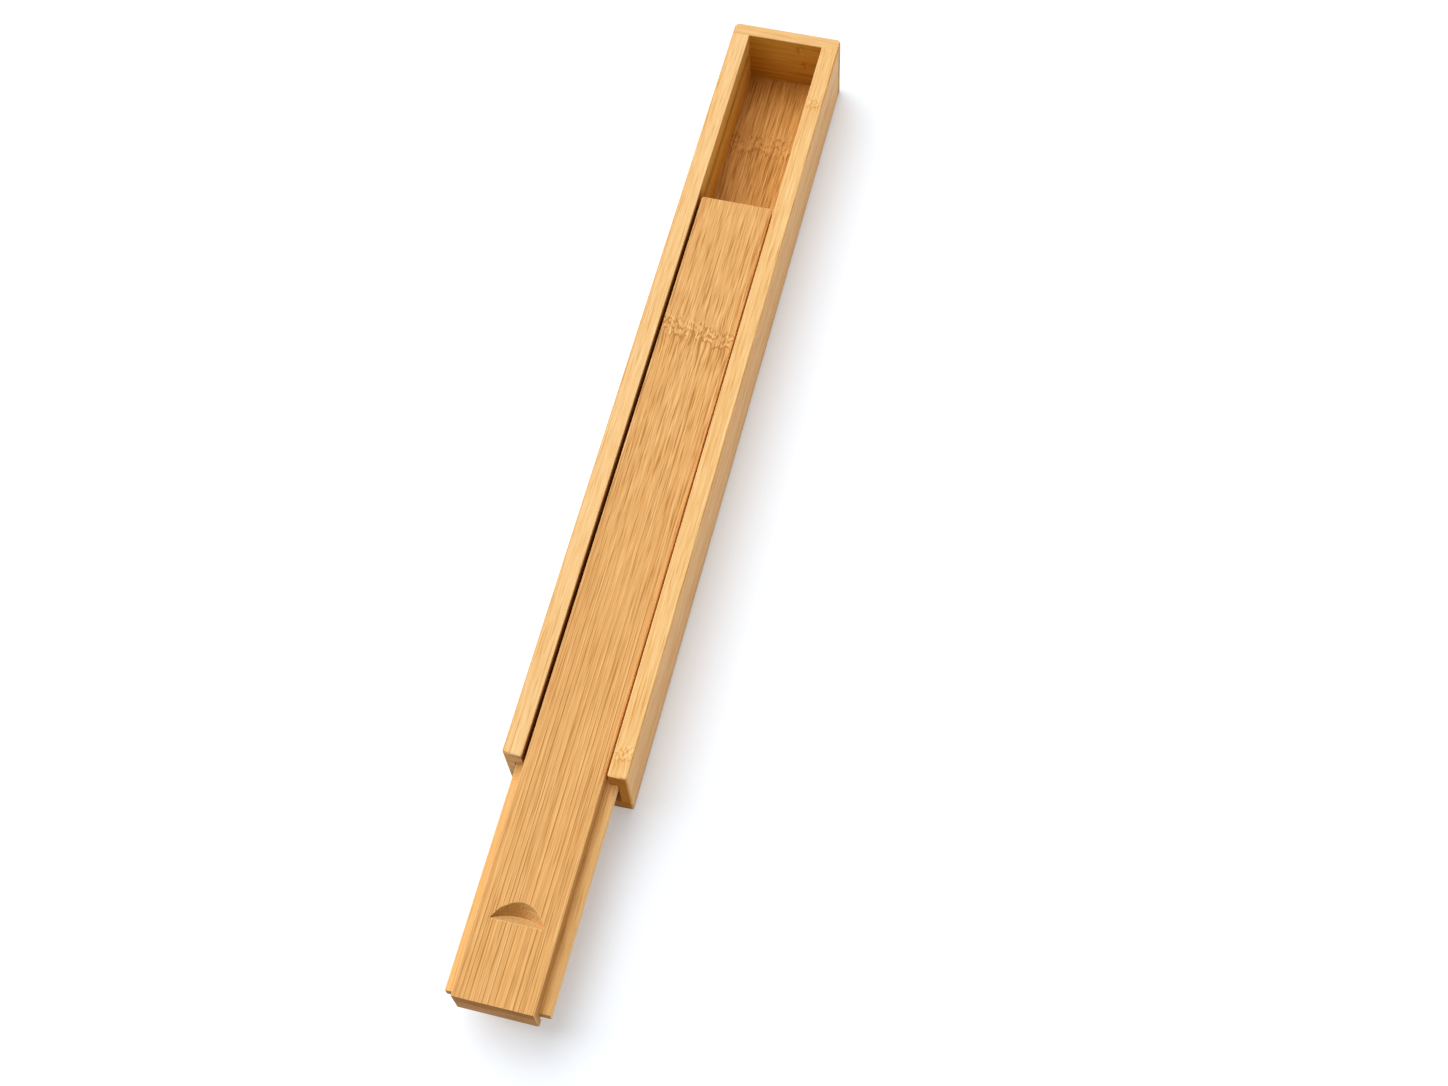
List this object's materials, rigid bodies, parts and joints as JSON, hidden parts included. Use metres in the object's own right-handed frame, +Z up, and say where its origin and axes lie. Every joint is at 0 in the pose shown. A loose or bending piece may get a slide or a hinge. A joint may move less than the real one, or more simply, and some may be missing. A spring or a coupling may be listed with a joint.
{
  "type": "portable chopstick case",
  "caption": "Slim bamboo travel case for chopsticks, closed at one end, with a grooved box and a sliding lid with a thumb notch that draws out through the mouth.",
  "frame": {"origin": "middle of the case's flat underside, halfway between the mouth and the end wall", "axes": "+X to the right seen from the mouth, +Y along the case from the mouth to the closed end, +Z up"},
  "size_m": [0.0324, 0.301, 0.022],
  "materials": {
    "rim_bamboo": "fine sanded natural bamboo, pale, satin",
    "inner_bamboo": "sanded natural bamboo inside the case, darker, satin",
    "lid_bamboo": "sanded laminated bamboo with fine lengthwise strips, satin"
  },
  "bodies": {
    "case": {"floor_board": "inner_bamboo", "left_wall": "rim_bamboo", "right_wall": "rim_bamboo", "end_wall": "rim_bamboo", "front_sill": "inner_bamboo"},
    "lid": {"lid_board": "lid_bamboo", "nose_strip": "lid_bamboo", "left_runner": "lid_bamboo", "right_runner": "lid_bamboo"}
  },
  "joints": [
    {"name": "lid_slide", "type": "slide", "parent": "case", "child": "lid", "axis": [0, -1, 0], "range_m": [-0.059, 0.178]}
  ]
}
